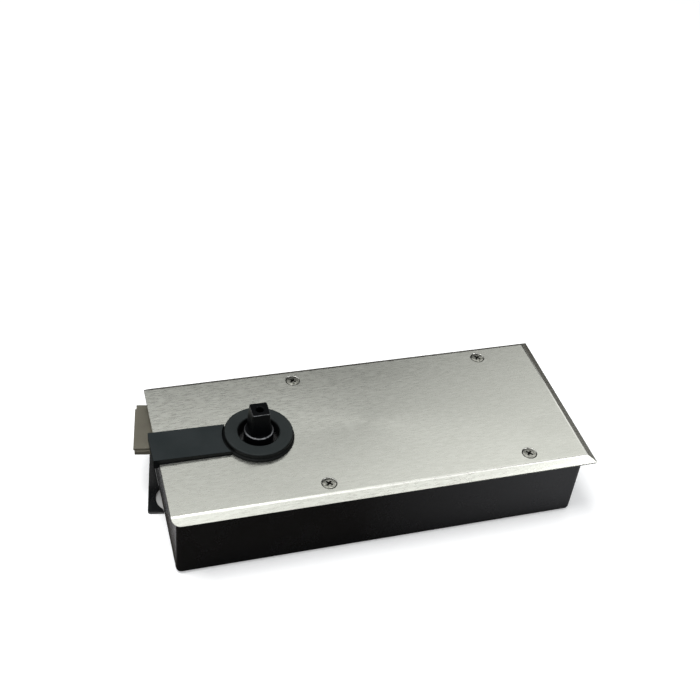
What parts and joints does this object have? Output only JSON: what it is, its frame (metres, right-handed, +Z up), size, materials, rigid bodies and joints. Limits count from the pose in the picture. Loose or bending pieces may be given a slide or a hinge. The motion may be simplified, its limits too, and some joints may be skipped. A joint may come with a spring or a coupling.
{
  "type": "floor spring door closer",
  "caption": "Floor spring door closer: sunk steel box under a brushed bevelled cover plate, with dust ring and square taper spindle driven by a heart cam and sprung piston.",
  "frame": {"origin": "where the spindle's axis meets the plane of the box's underside", "axes": "+Z up along the spindle, +X along the box from the spindle to the valve end, +Y across the box"},
  "size_m": [0.296, 0.1242, 0.0843],
  "materials": {
    "box_paint": "gloss black paint on pressed steel",
    "brushed_cover": "stainless steel brushed along the length",
    "nickel_screws": "nickel plated",
    "strip_grey": "matte dark grey",
    "ring_grey": "matte dark grey with a faint sheen",
    "clamp_steel": "satin grey-brown plated steel",
    "zinc_steel": "bright zinc plate",
    "black_steel": "black oxide",
    "cast_iron": "rough cast, dark primer",
    "seal_rubber": "soft black rubber",
    "bearing_steel": "ground and polished",
    "spindle_black": "glossy black oxide on hardened steel",
    "white_ptfe": "white sealing plastic",
    "valve_brass": "turned brass",
    "spring_steel": "oil tempered wire"
  },
  "bodies": {
    "housing": {"cement_box": "box_paint", "weld_studs": "zinc_steel", "cover_lugs": "box_paint", "cover_plate": "brushed_cover", "cover_screws": "nickel_screws", "slot_strip": "strip_grey", "dust_ring": "ring_grey", "anchor_plate": "box_paint", "clamp_plate": "clamp_steel", "clamp_block": "clamp_steel", "clamp_screws": "zinc_steel", "body_casting": "cast_iron", "levelling_screws": "black_steel", "stud_washers": "zinc_steel", "stud_nuts": "zinc_steel", "bearing_cap": "cast_iron", "cap_gasket": "seal_rubber", "cap_screws": "black_steel", "shaft_seal": "seal_rubber", "upper_bearing_cup": "bearing_steel", "lower_bearing_cup": "bearing_steel", "thrust_pad": "bearing_steel", "spring": "spring_steel", "end_plug": "zinc_steel", "plug_seal": "seal_rubber"},
    "spindle": {"spindle": "spindle_black"},
    "piston": {"piston": "bearing_steel", "piston_seal": "white_ptfe", "roller_pin": "bearing_steel", "check_valve": "valve_brass", "check_ball": "bearing_steel"},
    "roller": {"roller": "bearing_steel"},
    "upper_cage": {"upper_needle_cage": "bearing_steel"},
    "lower_cage": {"lower_needle_cage": "bearing_steel"},
    "speed_valve": {"speed_valve": "valve_brass", "speed_valve_seal": "seal_rubber"},
    "latch_valve": {"latch_valve": "valve_brass", "latch_valve_seal": "seal_rubber"}
  },
  "joints": [
    {"name": "swing", "type": "hinge", "parent": "housing", "child": "spindle", "pos_m": [0, 0, 0], "axis": [0, 0, 1], "range_deg": [0, 130], "stiffness_Nm_per_rad": 2},
    {"name": "piston_stroke", "type": "slide", "parent": "housing", "child": "piston", "axis": [1, 0, 0], "range_m": [0, 0.018], "deforming": ["spring"]},
    {"name": "roller_spin", "type": "hinge", "parent": "piston", "child": "roller", "pos_m": [0.023, 0, 0.0268], "axis": [0, 0, 1], "range_deg": [-390, 0]},
    {"name": "upper_cage_turn", "type": "hinge", "parent": "housing", "child": "upper_cage", "pos_m": [0, 0, 0.045], "axis": [0, 0, 1], "range_deg": [0, 58]},
    {"name": "lower_cage_turn", "type": "hinge", "parent": "housing", "child": "lower_cage", "pos_m": [0, 0, 0.01], "axis": [0, 0, 1], "range_deg": [0, 57]},
    {"name": "speed_valve_turn", "type": "hinge", "parent": "housing", "child": "speed_valve", "pos_m": [0.1935, -0.0245, 0.0238], "axis": [1, 0, 0], "range_deg": [-360, 360]},
    {"name": "latch_valve_turn", "type": "hinge", "parent": "housing", "child": "latch_valve", "pos_m": [0.1935, 0.0245, 0.0238], "axis": [1, 0, 0], "range_deg": [-360, 360]}
  ],
  "couplings": [
    {"joint": "swing", "follows": "piston_stroke", "rad_per_m": 126.05},
    {"joint": "roller_spin", "follows": "piston_stroke", "rad_per_m": -378.15},
    {"joint": "upper_cage_turn", "follows": "piston_stroke", "rad_per_m": 55.711},
    {"joint": "lower_cage_turn", "follows": "piston_stroke", "rad_per_m": 54.776}
  ]
}
